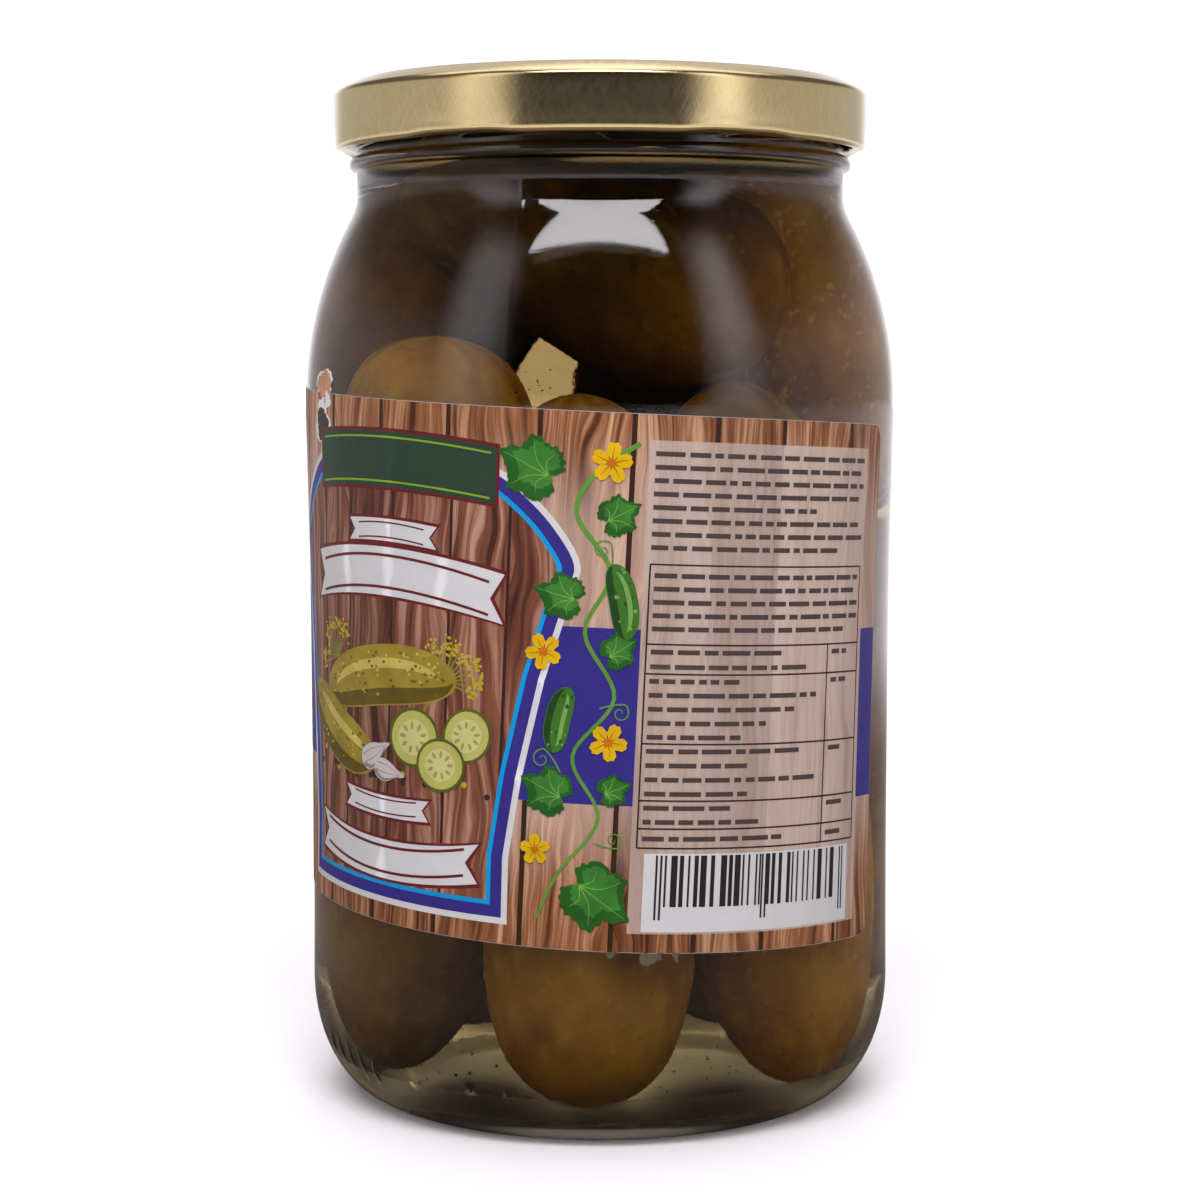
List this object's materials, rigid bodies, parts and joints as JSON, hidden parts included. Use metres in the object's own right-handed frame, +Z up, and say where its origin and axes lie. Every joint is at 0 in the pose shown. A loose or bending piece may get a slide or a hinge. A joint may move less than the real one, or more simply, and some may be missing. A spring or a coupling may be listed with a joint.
{
  "type": "pickle jar",
  "caption": "Shut clear glass jar of whole pickles in brine, with a gold twist-off lid of sheet metal and a paper label bent round its side.",
  "frame": {"origin": "on the jar's axis, at the height of the ring it stands on", "axes": "+Z up along the jar's axis, -Y the side that the picture looks at, +X to the right in it"},
  "size_m": [0.0956, 0.0958, 0.1634],
  "materials": {
    "clear_glass": "polished",
    "gold_tinplate": "satin",
    "label_paper": "satin",
    "pickle": "satin"
  },
  "bodies": {
    "root": {"glass_jar": "clear_glass", "lid": "gold_tinplate", "label": "label_paper", "pickles": "pickle"}
  },
  "joints": []
}
